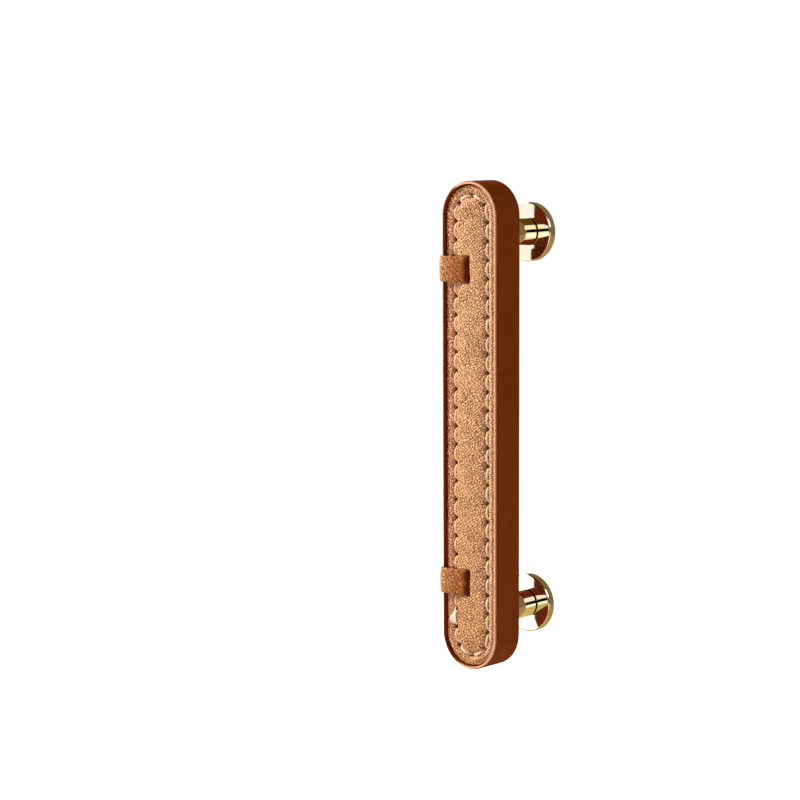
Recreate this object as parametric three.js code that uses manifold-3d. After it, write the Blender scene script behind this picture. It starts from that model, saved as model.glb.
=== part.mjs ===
// Leather-covered bar pull for a cabinet door, in millimetres.
// X runs across the bar, Y runs back to the door, Z runs up along the bar.
// The origin lies on the door's face, midway between the two fixing holes.

import * as THREE from 'three';
import * as BufferGeometryUtils from 'three/addons/utils/BufferGeometryUtils.js';
import Module from 'manifold-3d';

// Fixing holes
const holeSpacing = 128;
const screwHoleDiameter = 3.3;
const screwHoleDepth = 11;

// Bar
const endBeyondHole = 18;
const barWidth = 23.5;
const barDepth = 12.4;

// Posts and feet
const fingerGap = 18.2;
const postDiameter = 9.3;
const postEdge = 0.3;
const footDiameter = 20;
const footThickness = 3.4;
const footFrontBevel = 0.45;
const footRearBevel = 0.3;

// Studs that join the posts to the core
const studDiameter = 5;
const studInCore = 5.5;
const studInPost = 7;
const studBevel = 0.5;
const studClearance = 0.25;

// Leathers, padding and board
const edgeLeather = 1.1;
const faceLeather = 1.2;
const backLeather = 1.1;
const paddingUnderSeam = 0.45;
const linerThickness = 0.8;
const glueGap = 0.2;
const softGap = 0.15;

// Rim: the edge strap's front edge, which stands proud of the face
const rimHeight = 1.3;
const rimOuterRounding = 0.5;
const rimInnerRounding = 0.3;
const strapBackRounding = 0.35;

// Face: heights of its puffed parts over the face's own edge
const faceEdgeRounding = 0.35;
const bandPuff = 0.4;
const fieldPuff = 1.0;
const shoulderDrop = 0.25;
const spineHalfWidth = 0.4;

// Seam
const seamInset = 4.9;
const seamDepth = 0.95;
const seamLeatherLeft = 0.6;
const seamShoulder = 0.35;
const threadDiameter = 0.9;
const threadSideClearance = 0.15;
const threadBedClearance = 0.1;
const threadRise = 0.25;
const stitchPitch = 6.2;

// Loops
const loopToPost = 2.35;
const loopWidth = 8.6;
const loopLeather = 1.1;
const loopGap = 0.15;
const loopBendRadius = 1.2;
const loopSlotX = -0.8;
const loopFrontSag = 1.05;
const loopBackTuck = 3;

// Facets
const arcSteps = 20;
const bendSteps = 5;
const roundingSteps = 3;
const fieldSteps = 5;
const threadSides = 8;
const threadStepsPerStitch = 6;
const turnedSides = 64;
const studSides = 24;

// Worked out from the sizes above. A recess is a depth behind the rim's crown.
const crownY = -(footThickness + fingerGap + barDepth);
const halfWidth = barWidth / 2;
const straightHalf = holeSpacing / 2 + endBeyondHole - halfWidth;
const innerInset = edgeLeather + glueGap;
const bandRecess = rimHeight - bandPuff;
const fieldRecess = rimHeight - fieldPuff;
const shoulderRecess = bandRecess + shoulderDrop;
const seamRecess = rimHeight + seamDepth;
const seamHalf = threadDiameter / 2 + threadSideClearance;
const faceUnder = rimHeight + faceLeather;
const seamUnder = seamRecess + seamLeatherLeft;
const linerRecess = seamUnder + softGap + paddingUnderSeam;
const coreRecess = linerRecess + linerThickness;
const backRecess = barDepth - backLeather;
const postHeight = fingerGap + footThickness;

const wasm = await Module();
wasm.setup();

// Joins and cuts

function toSolid(geometry) {
  const bare = geometry.clone();
  bare.deleteAttribute('normal');
  bare.deleteAttribute('uv');
  const merged = BufferGeometryUtils.mergeVertices(bare, 1e-4);
  const mesh = new wasm.Mesh({
    numProp: 3,
    vertProperties: new Float32Array(merged.attributes.position.array),
    triVerts: new Uint32Array(merged.index.array),
  });
  return new wasm.Manifold(mesh);
}

function toGeometry(solid) {
  const mesh = solid.getMesh();
  const geometry = new THREE.BufferGeometry();
  geometry.setAttribute('position', new THREE.BufferAttribute(new Float32Array(mesh.vertProperties), 3));
  geometry.setIndex(new THREE.BufferAttribute(new Uint32Array(mesh.triVerts), 1));
  geometry.computeVertexNormals();
  return geometry;
}

// One ring of points round the bar's outline, drawn in by an inset, at a recess behind the crown.
// The outline is two half circles joined by straight sides.
function outlineRing(inset, recess) {
  const radius = halfWidth - inset;
  const points = [];
  for (const end of [1, -1]) {
    for (let step = 0; step <= arcSteps; step += 1) {
      const angle = Math.PI * step / arcSteps;
      const x = end * radius * Math.cos(angle);
      const z = end * (straightHalf + radius * Math.sin(angle));
      points.push([x, crownY + recess, z]);
    }
  }
  return points;
}

// Joins rings of equal length into a closed skin. A loop of rings closes on itself, and a stack of
// rings is closed by a fan at its first and last ring. The faces are turned to point outwards.
function skinRings(rings, closesOnItself) {
  const ringLength = rings[0].length;
  const positions = rings.flat(2);
  const indices = [];
  const joins = closesOnItself ? rings.length : rings.length - 1;
  for (let ring = 0; ring < joins; ring += 1) {
    const here = ring * ringLength;
    const there = ((ring + 1) % rings.length) * ringLength;
    for (let point = 0; point < ringLength; point += 1) {
      const next = (point + 1) % ringLength;
      indices.push(here + point, here + next, there + next);
      indices.push(here + point, there + next, there + point);
    }
  }
  if (!closesOnItself) {
    const last = (rings.length - 1) * ringLength;
    for (let point = 1; point < ringLength - 1; point += 1) {
      indices.push(0, point + 1, point);
      indices.push(last, last + point, last + point + 1);
    }
  }
  const geometry = new THREE.BufferGeometry();
  geometry.setAttribute('position', new THREE.Float32BufferAttribute(positions, 3));
  geometry.setIndex(indices);
  return pointOutwards(geometry);
}

function pointOutwards(geometry) {
  const position = geometry.attributes.position;
  const index = geometry.index.array;
  const a = new THREE.Vector3();
  const b = new THREE.Vector3();
  const c = new THREE.Vector3();
  let volume = 0;
  for (let corner = 0; corner < index.length; corner += 3) {
    a.fromBufferAttribute(position, index[corner]);
    b.fromBufferAttribute(position, index[corner + 1]);
    c.fromBufferAttribute(position, index[corner + 2]);
    volume += a.dot(b.cross(c));
  }
  if (volume < 0) {
    for (let corner = 0; corner < index.length; corner += 3) {
      const swap = index[corner + 1];
      index[corner + 1] = index[corner + 2];
      index[corner + 2] = swap;
    }
  }
  geometry.computeVertexNormals();
  return geometry;
}

// A solid whose section is a list of [inset, recess], carried round the bar's outline
function outlineSolid(section, closesOnItself) {
  const rings = section.map(([inset, recess]) => outlineRing(inset, recess));
  return skinRings(rings, closesOnItself);
}

// A flat plate of the bar's outline
function outlinePlate(inset, frontRecess, backRecessOfPlate) {
  return outlineSolid([[inset, frontRecess], [inset, backRecessOfPlate]], false);
}

// Points of a quarter circle in a section, between two directions given in quarter turns
function quarterArc(centreInset, centreRecess, radius, fromQuarter) {
  const points = [];
  for (let step = 0; step <= roundingSteps; step += 1) {
    const angle = (fromQuarter + step / roundingSteps) * Math.PI / 2;
    points.push([centreInset + radius * Math.cos(angle), centreRecess + radius * Math.sin(angle)]);
  }
  return points;
}

// Round bar along Y, for bores
function roundCutter(diameter, fromY, toY, z) {
  const cutter = new THREE.CylinderGeometry(diameter / 2, diameter / 2, toY - fromY, studSides);
  cutter.translate(0, (fromY + toY) / 2, z);
  return toSolid(cutter);
}

// A leather ribbon: a path of corners in X and recess, with its bends rounded, given a thickness
// and carried along Z
function ribbon(corners, bendRadii, thickness, width, z) {
  const centreLine = [];
  corners.forEach((corner, place) => {
    const radius = bendRadii[place];
    if (!radius) {
      centreLine.push(corner);
      return;
    }
    const back = corners[place - 1].clone().sub(corner).normalize();
    const ahead = corners[place + 1].clone().sub(corner).normalize();
    const halfAngle = Math.acos(THREE.MathUtils.clamp(back.dot(ahead), -1, 1)) / 2;
    const reach = radius / Math.tan(halfAngle);
    const centre = back.clone().add(ahead).normalize().multiplyScalar(radius / Math.sin(halfAngle)).add(corner);
    const from = back.multiplyScalar(reach).add(corner).sub(centre);
    const to = ahead.multiplyScalar(reach).add(corner).sub(centre);
    const turn = Math.atan2(from.cross(to), from.dot(to));
    for (let step = 0; step <= bendSteps; step += 1) {
      centreLine.push(from.clone().rotateAround(new THREE.Vector2(), turn * step / bendSteps).add(centre));
    }
  });
  const left = [];
  const right = [];
  centreLine.forEach((point, place) => {
    const before = centreLine[Math.max(place - 1, 0)];
    const after = centreLine[Math.min(place + 1, centreLine.length - 1)];
    const incoming = place > 0 ? point.clone().sub(before).normalize() : after.clone().sub(point).normalize();
    const outgoing = place < centreLine.length - 1 ? after.clone().sub(point).normalize() : incoming;
    const along = incoming.clone().add(outgoing).normalize();
    const mitre = thickness / 2 / along.dot(outgoing);
    const side = new THREE.Vector2(-along.y, along.x).multiplyScalar(mitre);
    left.push(point.clone().add(side));
    right.push(point.clone().sub(side));
  });
  const shape = new THREE.Shape(left.concat(right.reverse()));
  const geometry = new THREE.ExtrudeGeometry(shape, { depth: width, bevelEnabled: false });
  geometry.translate(0, crownY, z - width / 2);
  return geometry;
}

// Edge strap: a strip of smooth leather wrapped round the bar, with its cut edges rounded

const edgeStrapGeometry = outlineSolid([
  ...quarterArc(rimOuterRounding, rimOuterRounding, rimOuterRounding, 2),
  ...quarterArc(edgeLeather - rimInnerRounding, rimInnerRounding, rimInnerRounding, 3),
  ...quarterArc(edgeLeather - strapBackRounding, barDepth - strapBackRounding, strapBackRounding, 0),
  ...quarterArc(strapBackRounding, barDepth - strapBackRounding, strapBackRounding, 1),
], true);

// Loops: a strap that leaves the face by a slot, passes over the rim and round the side to the back,
// and is tucked through the back leather into a pocket in the core

const loopOuterX = -(halfWidth + loopGap + loopLeather / 2);
const loopFrontRecess = -(loopGap + loopLeather / 2);
const loopBackRecess = barDepth + loopGap + loopLeather / 2;
const loopFrontEnd = linerRecess - softGap;
const loopBackEnd = barDepth - loopBackTuck;

function loopRibbon(spare, z) {
  const corners = [
    new THREE.Vector2(loopSlotX, loopFrontEnd + spare),
    new THREE.Vector2(loopSlotX, loopFrontRecess + loopFrontSag),
    new THREE.Vector2(innerInset - halfWidth, loopFrontRecess),
    new THREE.Vector2(loopOuterX, loopFrontRecess),
    new THREE.Vector2(loopOuterX, loopBackRecess),
    new THREE.Vector2(loopSlotX, loopBackRecess),
    new THREE.Vector2(loopSlotX, loopBackEnd - spare),
  ];
  const bends = [0, loopBendRadius, 0, loopBendRadius, loopBendRadius, loopBendRadius, 0];
  return ribbon(corners, bends, loopLeather + 2 * spare, loopWidth + 2 * spare, z);
}

const loopCentre = holeSpacing / 2 - postDiameter / 2 - loopToPost - loopWidth / 2;
const loopCentres = { loop_upper: loopCentre, loop_lower: -loopCentre };
const loopRoom = Object.values(loopCentres).map((z) => toSolid(loopRibbon(loopGap, z)));

function cutLoopRoom(solid) {
  return loopRoom.reduce((kept, room) => kept.subtract(room), solid);
}

// Face panel: leather puffed over its padding, drawn down along the seam

const fieldEdgeRadius = halfWidth - seamInset - seamHalf - seamShoulder;

// Insets and recesses of a domed field, from its spine out to the seam's shoulder
function fieldSection(middleRecess, edgeRecess, edgeRadius) {
  const points = [];
  for (let step = 0; step <= fieldSteps; step += 1) {
    const share = step / fieldSteps;
    const radius = spineHalfWidth + (edgeRadius - spineHalfWidth) * share;
    points.push([halfWidth - radius, middleRecess + (edgeRecess - middleRecess) * share ** 2]);
  }
  return points;
}

const bandMiddle = (innerInset + seamInset - seamHalf - seamShoulder) / 2;
const faceFront = [
  ...fieldSection(fieldRecess, shoulderRecess, fieldEdgeRadius),
  [seamInset + seamHalf, seamRecess],
  [seamInset - seamHalf, seamRecess],
  [seamInset - seamHalf - seamShoulder, shoulderRecess],
  [bandMiddle + faceEdgeRounding, bandRecess],
  [bandMiddle - faceEdgeRounding, bandRecess],
  [innerInset + faceEdgeRounding, rimHeight],
  [innerInset, rimHeight + faceEdgeRounding],
];

// The face's back and the padding's front are the same section, one soft gap apart
const faceBackCentre = fieldRecess + faceLeather;
const underShoulder = seamHalf + seamShoulder;
const faceBack = [
  [innerInset, faceUnder],
  [seamInset - underShoulder, faceUnder],
  [seamInset - seamHalf, seamUnder],
  [seamInset + seamHalf, seamUnder],
  ...fieldSection(faceBackCentre, shoulderRecess + faceLeather, fieldEdgeRadius).reverse(),
];

const facePanelGeometry = toGeometry(cutLoopRoom(toSolid(outlineSolid([...faceFront, ...faceBack], false))));

// Padding: thin foam between the face and the board that both are sewn to

const paddingFront = faceBack.map(([inset, recess]) => [inset, recess + softGap]);
const paddingGeometry = toGeometry(cutLoopRoom(toSolid(outlineSolid([
  ...paddingFront.reverse(),
  [innerInset, linerRecess],
  [halfWidth - spineHalfWidth, linerRecess],
], false))));

// Sewing liner: the stiff board behind the padding

const sewingLinerGeometry = outlinePlate(innerInset, linerRecess, coreRecess);

// Core bar: the rigid bar that carries everything, with blind holes for the studs and a pocket
// for the tucked end of each loop

const postCentres = { upper: holeSpacing / 2, lower: -holeSpacing / 2 };
const studHoleDiameter = studDiameter + 2 * studClearance;

function cutStudHoles(solid, fromRecess, toRecess) {
  return Object.values(postCentres).reduce((kept, z) => {
    return kept.subtract(roundCutter(studHoleDiameter, crownY + fromRecess, crownY + toRecess, z));
  }, solid);
}

const coreSolid = toSolid(outlinePlate(innerInset, coreRecess, backRecess));
const coreHoleRecess = backRecess - studInCore - studClearance;
const coreBarGeometry = toGeometry(cutLoopRoom(cutStudHoles(coreSolid, coreHoleRecess, barDepth)));

// Back panel: smooth leather glued to the back of the core

const backSolid = toSolid(outlinePlate(innerInset, backRecess, barDepth));
const backPanelGeometry = toGeometry(cutLoopRoom(cutStudHoles(backSolid, coreHoleRecess, barDepth + studInPost)));

// Face stitching: one waxed thread sewn all round the seam. It rises a little in the middle of each
// stitch and dips where it enters the leather.

function stitchingGeometry() {
  const seamRadius = halfWidth - seamInset;
  const arcLength = Math.PI * seamRadius;
  const seamLength = 2 * arcLength + 4 * straightHalf;
  const stitches = 4 * Math.round(seamLength / stitchPitch / 4);
  const steps = stitches * threadStepsPerStitch;
  const lowRecess = seamRecess - threadBedClearance - threadDiameter / 2;
  const rings = [];
  for (let step = 0; step < steps; step += 1) {
    const distance = seamLength * step / steps;
    const halfLength = seamLength / 2;
    const side = distance < halfLength ? 1 : -1;
    const onHalf = distance % halfLength;
    const arcStart = straightHalf;
    const arcTurn = THREE.MathUtils.clamp((onHalf - arcStart) / seamRadius, 0, Math.PI);
    const past = Math.max(onHalf - arcStart - arcLength, 0);
    const outX = side * Math.cos(arcTurn);
    const outZ = side * Math.sin(arcTurn);
    const up = Math.min(onHalf, arcStart) - past;
    const x = seamRadius * outX;
    const z = side * up + seamRadius * outZ;
    const rise = threadRise * Math.sin(Math.PI * (step % threadStepsPerStitch) / threadStepsPerStitch);
    const ring = [];
    for (let corner = 0; corner < threadSides; corner += 1) {
      const angle = 2 * Math.PI * corner / threadSides;
      const out = threadDiameter / 2 * Math.cos(angle);
      const deep = threadDiameter / 2 * Math.sin(angle);
      ring.push([x + outX * out, crownY + lowRecess - rise + deep, z + outZ * out]);
    }
    rings.push(ring);
  }
  return skinRings(rings, true);
}

// Posts: each turned in one with its round foot, with a blind hole for the stud at the bar and a
// tapped blind hole for the door's screw at the rear

function postGeometry(z) {
  const postRadius = postDiameter / 2;
  const footRadius = footDiameter / 2;
  const studHoleRadius = studHoleDiameter / 2;
  const profile = [
    new THREE.Vector2(0, -postHeight + studInPost + studClearance),
    new THREE.Vector2(studHoleRadius, -postHeight + studInPost + studClearance),
    new THREE.Vector2(studHoleRadius, -postHeight),
    new THREE.Vector2(postRadius - postEdge, -postHeight),
    new THREE.Vector2(postRadius, -postHeight + postEdge),
    new THREE.Vector2(postRadius, -footThickness),
    new THREE.Vector2(footRadius - footFrontBevel, -footThickness),
    new THREE.Vector2(footRadius, -footThickness + footFrontBevel),
    new THREE.Vector2(footRadius, -footRearBevel),
    new THREE.Vector2(footRadius - footRearBevel, 0),
    new THREE.Vector2(screwHoleDiameter / 2, 0),
    new THREE.Vector2(screwHoleDiameter / 2, -screwHoleDepth),
    new THREE.Vector2(0, -screwHoleDepth),
  ];
  const geometry = new THREE.LatheGeometry(profile, turnedSides);
  geometry.translate(0, 0, z);
  return geometry;
}

// Studs: plain rods here, with their ends bevelled

function studGeometry(z) {
  const radius = studDiameter / 2;
  const front = crownY + backRecess - studInCore;
  const back = -postHeight + studInPost;
  const profile = [
    new THREE.Vector2(0, front),
    new THREE.Vector2(radius - studBevel, front),
    new THREE.Vector2(radius, front + studBevel),
    new THREE.Vector2(radius, back - studBevel),
    new THREE.Vector2(radius - studBevel, back),
    new THREE.Vector2(0, back),
  ];
  const geometry = new THREE.LatheGeometry(profile, studSides);
  geometry.translate(0, 0, z);
  return geometry;
}

// Materials

const finishes = {
  edgeLeather: { color: '#5b2a12', roughness: 0.45, metalness: 0 },
  faceLeather: { color: '#cf9a6c', roughness: 0.6, metalness: 0 },
  backLeather: { color: '#54240f', roughness: 0.5, metalness: 0 },
  loopLeather: { color: '#b87a4b', roughness: 0.6, metalness: 0 },
  thread: { color: '#f0d8b0', roughness: 0.7, metalness: 0 },
  foam: { color: '#6b6258', roughness: 0.95, metalness: 0 },
  board: { color: '#8b7355', roughness: 0.9, metalness: 0 },
  aluminium: { color: '#b9bcbf', roughness: 0.4, metalness: 1 },
  polishedGold: { color: '#e3cf94', roughness: 0.08, metalness: 1 },
  steel: { color: '#8f9296', roughness: 0.4, metalness: 1 },
};

const group = new THREE.Group();

function addPiece(name, geometry, finish) {
  const material = new THREE.MeshStandardMaterial(finishes[finish]);
  const mesh = new THREE.Mesh(geometry, material);
  mesh.name = name;
  group.add(mesh);
}

addPiece('core_bar', coreBarGeometry, 'aluminium');
addPiece('edge_strap', edgeStrapGeometry, 'edgeLeather');
addPiece('back_panel', backPanelGeometry, 'backLeather');
addPiece('sewing_liner', sewingLinerGeometry, 'board');
addPiece('padding', paddingGeometry, 'foam');
addPiece('face_panel', facePanelGeometry, 'faceLeather');
addPiece('face_stitching', stitchingGeometry(), 'thread');
for (const [name, z] of Object.entries(loopCentres)) {
  addPiece(name, loopRibbon(0, z), 'loopLeather');
}
for (const [place, z] of Object.entries(postCentres)) {
  addPiece(`post_${place}`, postGeometry(z), 'polishedGold');
  addPiece(`stud_${place}`, studGeometry(z), 'steel');
}

export default group;
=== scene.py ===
import bpy
import numpy as np
from mathutils import Matrix, Vector


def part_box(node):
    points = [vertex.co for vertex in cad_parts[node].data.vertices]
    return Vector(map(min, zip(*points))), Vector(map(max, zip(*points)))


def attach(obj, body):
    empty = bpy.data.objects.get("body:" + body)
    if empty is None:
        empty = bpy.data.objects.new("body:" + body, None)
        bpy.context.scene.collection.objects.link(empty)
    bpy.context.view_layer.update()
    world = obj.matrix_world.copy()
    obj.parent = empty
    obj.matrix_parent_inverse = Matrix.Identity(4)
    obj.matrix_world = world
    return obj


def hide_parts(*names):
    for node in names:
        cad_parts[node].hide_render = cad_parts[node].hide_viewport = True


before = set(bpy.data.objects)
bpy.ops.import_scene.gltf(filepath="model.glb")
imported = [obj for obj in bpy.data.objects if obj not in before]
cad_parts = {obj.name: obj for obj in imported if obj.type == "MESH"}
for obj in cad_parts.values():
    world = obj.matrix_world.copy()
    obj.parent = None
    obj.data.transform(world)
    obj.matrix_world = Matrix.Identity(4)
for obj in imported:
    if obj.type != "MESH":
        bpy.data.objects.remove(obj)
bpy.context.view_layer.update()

# The viewpoint: a long lens from the right of the bar and a little above it. Right is +X and up is
# +Z. The lens is aimed so that the middle of the rim's front falls where the photograph has it.

VIEW_AZIMUTH = np.radians(41.874)
VIEW_ELEVATION = np.radians(7.025)
VIEW_ROLL = np.radians(-0.263)
IMAGE_WIDTH = 800
FOCAL_PIXELS = 2448.5
SENSOR_WIDTH = 36.0
AIM_DISTANCE = 0.8149
AIM_PIXEL = (468.8, 428.1)

crown_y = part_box("edge_strap")[0].y

aim = np.array([0.0, crown_y, 0.0])
forward = np.array([-np.sin(VIEW_AZIMUTH) * np.cos(VIEW_ELEVATION),
                    np.cos(VIEW_AZIMUTH) * np.cos(VIEW_ELEVATION),
                    -np.sin(VIEW_ELEVATION)])
sideways = np.array([np.cos(VIEW_AZIMUTH), np.sin(VIEW_AZIMUTH), 0.0])
upright = np.cross(sideways, forward)
right = np.cos(VIEW_ROLL) * sideways + np.sin(VIEW_ROLL) * upright
up = np.cos(VIEW_ROLL) * upright - np.sin(VIEW_ROLL) * sideways
offset = (np.array(AIM_PIXEL) - IMAGE_WIDTH / 2) / FOCAL_PIXELS * AIM_DISTANCE
stand = aim - offset[0] * right + offset[1] * up - AIM_DISTANCE * forward

lens = bpy.data.cameras.new("viewpoint")
lens.sensor_width = SENSOR_WIDTH
lens.lens = FOCAL_PIXELS / IMAGE_WIDTH * SENSOR_WIDTH
lens.clip_start = 0.05
viewpoint = bpy.data.objects.new("viewpoint", lens)
turn = np.eye(4)
turn[:3, :] = np.column_stack([right, up, -forward, stand])
viewpoint.matrix_world = Matrix(turn.tolist())
bpy.context.scene.collection.objects.link(viewpoint)
bpy.context.scene.camera = viewpoint
bpy.context.scene.view_settings.view_transform = "Standard"

# The studio: one soft box high on the left, a weak one on the right, an even pale room, and a pale
# floor well below the bar. Only a mirror finds what else stands in the room.

ROOM_LIGHT = 0.27


def add_node(tree, kind, inputs=None, **settings):
    """Adds one node with its settings. Each named input takes a value, an output, or the first
    output of another node."""
    node = tree.nodes.new(kind)
    for name, value in settings.items():
        setattr(node, name, value)
    for name, value in (inputs or {}).items():
        named = [socket for socket in node.inputs if socket.enabled and socket.name == name]
        socket = node.inputs[name] if isinstance(name, int) else named[0]
        if isinstance(value, bpy.types.Node):
            value = next(output for output in value.outputs if output.enabled)
        if isinstance(value, bpy.types.NodeSocket):
            tree.links.new(value, socket)
        else:
            socket.default_value = value
    return node


def hex_linear(code):
    """Linear colour of an sRGB hex: c / 12.92 when dark, else ((c + 0.055) / 1.055) to the 2.4."""
    channel = np.array([int(code[first:first + 2], 16) / 255 for first in (1, 3, 5)])
    linear = np.where(channel <= 0.04045, channel / 12.92, ((channel + 0.055) / 1.055) ** 2.4)
    return (*linear.tolist(), 1.0)


def add_softbox(name, azimuth, elevation, distance, size, power):
    """A square area lamp aimed at the middle of the bar. Azimuth 0 is in front and 90 is right."""
    side, height = np.radians(azimuth), np.radians(elevation)
    toward = Vector((np.sin(side) * np.cos(height), -np.cos(side) * np.cos(height), np.sin(height)))
    lamp = bpy.data.lights.new(name, "AREA")
    lamp.size = size
    lamp.energy = power
    box = bpy.data.objects.new(name, lamp)
    stand = Vector((0.0, crown_y, 0.0)) + toward * distance
    box.matrix_world = Matrix.Translation(stand) @ toward.to_track_quat("Z", "Y").to_matrix().to_4x4()
    bpy.context.scene.collection.objects.link(box)


add_softbox("key_softbox", azimuth=-60, elevation=35, distance=1.2, size=0.3, power=25)
add_softbox("side_softbox", azimuth=112, elevation=28, distance=1.4, size=0.6, power=6.1)


def sight(tree):
    """Whether a mirror sees this, and whether the camera, a mirror or glass does, each 0 or 1."""
    ray = add_node(tree, "ShaderNodeLightPath").outputs
    in_mirror = ray["Is Glossy Ray"]
    seen = add_node(tree, "ShaderNodeMath", {0: ray["Is Camera Ray"], 1: in_mirror},
                    operation="MAXIMUM")
    seen = add_node(tree, "ShaderNodeMath", {0: seen, 1: ray["Is Transmission Ray"]},
                    operation="MAXIMUM")
    return in_mirror, seen


# The room lights the object evenly and shows white. In a mirror it also has a dark ceiling at the
# front, a dim brown wall behind, and a black table edge at the front on the right.

CEILING_FROM = 0.42
CEILING_LEAN = 0.35
TABLE_EDGE = 0.09
TABLE_EDGE_HALF = 0.14
TABLE_FROM_RIGHT = 0.3
WALL_FROM_RIGHT = (-0.75, -0.55)
DIM_WALL = hex_linear("#7d6848")

room = bpy.data.worlds.new("pale_room")
room.use_nodes = True
bpy.context.scene.world = room
tree = room.node_tree
tree.nodes.clear()
in_mirror, seen = sight(tree)
strength = add_node(tree, "ShaderNodeMapRange", {"Value": seen, "To Min": ROOM_LIGHT, "To Max": 1.0})
toward_wall = add_node(tree, "ShaderNodeTexCoord").outputs["Generated"]
to_right, to_back, to_top = add_node(tree, "ShaderNodeSeparateXYZ", {0: toward_wall}).outputs
front = add_node(tree, "ShaderNodeMath", {0: to_back, 1: 0.0}, operation="LESS_THAN")
front = add_node(tree, "ShaderNodeMath", {0: front, 1: in_mirror}, operation="MULTIPLY")
behind = add_node(tree, "ShaderNodeMath", {0: to_back, 1: 0.0}, operation="GREATER_THAN")
behind = add_node(tree, "ShaderNodeMath", {0: behind, 1: in_mirror}, operation="MULTIPLY")
lean = add_node(tree, "ShaderNodeMath", {0: to_right, 1: CEILING_LEAN}, operation="MULTIPLY")
height = add_node(tree, "ShaderNodeMath", {0: to_top, 1: lean}, operation="SUBTRACT")
overhead = add_node(tree, "ShaderNodeMath", {0: height, 1: CEILING_FROM}, operation="GREATER_THAN")
ceiling = add_node(tree, "ShaderNodeMath", {0: overhead, 1: front}, operation="MULTIPLY")
rightward = add_node(tree, "ShaderNodeMapRange", {"Value": to_right, "From Min": WALL_FROM_RIGHT[0],
                                                  "From Max": WALL_FROM_RIGHT[1]})
wall = add_node(tree, "ShaderNodeMath", {0: rightward, 1: behind}, operation="MULTIPLY")
level_edge = add_node(tree, "ShaderNodeMath", {0: to_top, 1: TABLE_EDGE, 2: TABLE_EDGE_HALF},
                      operation="COMPARE")
at_right = add_node(tree, "ShaderNodeMath", {0: to_right, 1: TABLE_FROM_RIGHT},
                    operation="GREATER_THAN")
table = add_node(tree, "ShaderNodeMath", {0: level_edge, 1: at_right}, operation="MULTIPLY")
table = add_node(tree, "ShaderNodeMath", {0: table, 1: front}, operation="MULTIPLY")
tint = add_node(tree, "ShaderNodeMix", {"Factor": ceiling, "A": (1.0, 1.0, 1.0, 1.0),
                                        "B": hex_linear("#5b4209")}, data_type="RGBA")
tint = add_node(tree, "ShaderNodeMix", {"Factor": wall, "A": tint, "B": DIM_WALL}, data_type="RGBA")
tint = add_node(tree, "ShaderNodeMix", {"Factor": table, "A": tint, "B": hex_linear("#050403")},
                data_type="RGBA")
glow = add_node(tree, "ShaderNodeBackground", {"Color": tint, "Strength": strength})
add_node(tree, "ShaderNodeOutputWorld", {"Surface": glow})

FLOOR_DROP = 0.2
FLOOR_HALF = 1.2
FLOOR_GLOW = 0.72
GOLDEN_FROM = -0.6
GOLDEN_TO = -0.3

floor_mesh = bpy.data.meshes.new("floor")
floor_mesh.from_pydata([(-FLOOR_HALF, -FLOOR_HALF, -FLOOR_DROP),
                        (FLOOR_HALF, -FLOOR_HALF, -FLOOR_DROP),
                        (FLOOR_HALF, FLOOR_HALF, -FLOOR_DROP),
                        (-FLOOR_HALF, FLOOR_HALF, -FLOOR_DROP)], [], [(0, 1, 2, 3)])
floor = bpy.data.objects.new("floor", floor_mesh)
bpy.context.scene.collection.objects.link(floor)

# Matt white paper that glows a little where it is seen, so that it shows white and keeps a shadow.
# A mirror finds it golden in front of the bar, and dim behind, like the wall.
paper = bpy.data.materials.new("white_paper")
paper.use_nodes = True
tree = paper.node_tree
tree.nodes.clear()
in_mirror, seen = sight(tree)
strength = add_node(tree, "ShaderNodeMath", {0: seen, 1: FLOOR_GLOW}, operation="MULTIPLY")
place = add_node(tree, "ShaderNodeTexCoord").outputs["Object"]
to_back = add_node(tree, "ShaderNodeSeparateXYZ", {0: place}).outputs[1]
near = add_node(tree, "ShaderNodeMapRange", {"Value": to_back, "From Min": GOLDEN_FROM,
                                              "From Max": GOLDEN_TO})
near = add_node(tree, "ShaderNodeMath", {0: near, 1: in_mirror}, operation="MULTIPLY")
behind = add_node(tree, "ShaderNodeMath", {0: to_back, 1: 0.0}, operation="GREATER_THAN")
behind = add_node(tree, "ShaderNodeMath", {0: behind, 1: in_mirror}, operation="MULTIPLY")
tint = add_node(tree, "ShaderNodeMix", {"Factor": near, "A": hex_linear("#f2f2f0"),
                                        "B": hex_linear("#94855c")}, data_type="RGBA")
tint = add_node(tree, "ShaderNodeMix", {"Factor": behind, "A": tint, "B": DIM_WALL},
                data_type="RGBA")
matt = add_node(tree, "ShaderNodeBsdfDiffuse", {"Color": tint})
shine = add_node(tree, "ShaderNodeEmission", {"Color": tint, "Strength": strength})
both = add_node(tree, "ShaderNodeAddShader", {0: matt, 1: shine})
add_node(tree, "ShaderNodeOutputMaterial", {"Surface": both})
floor_mesh.materials.append(paper)

# Core bar: the rigid bar inside the leather that carries the posts. Extruded aluminium, cut and
# drilled, with the fine lines of the die along it. It shows only at the mouths of the back's slots.

MM = 0.001


def new_material(name):
    """An empty material, and its tree of nodes."""
    material = bpy.data.materials.new(name)
    material.use_nodes = True
    material.node_tree.nodes.clear()
    return material, material.node_tree


def dress(node, material):
    """Gives every slot of a CAD node the same material."""
    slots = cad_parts[node].data.materials
    if not slots:
        slots.append(material)
    for number in range(len(slots)):
        slots[number] = material


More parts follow.
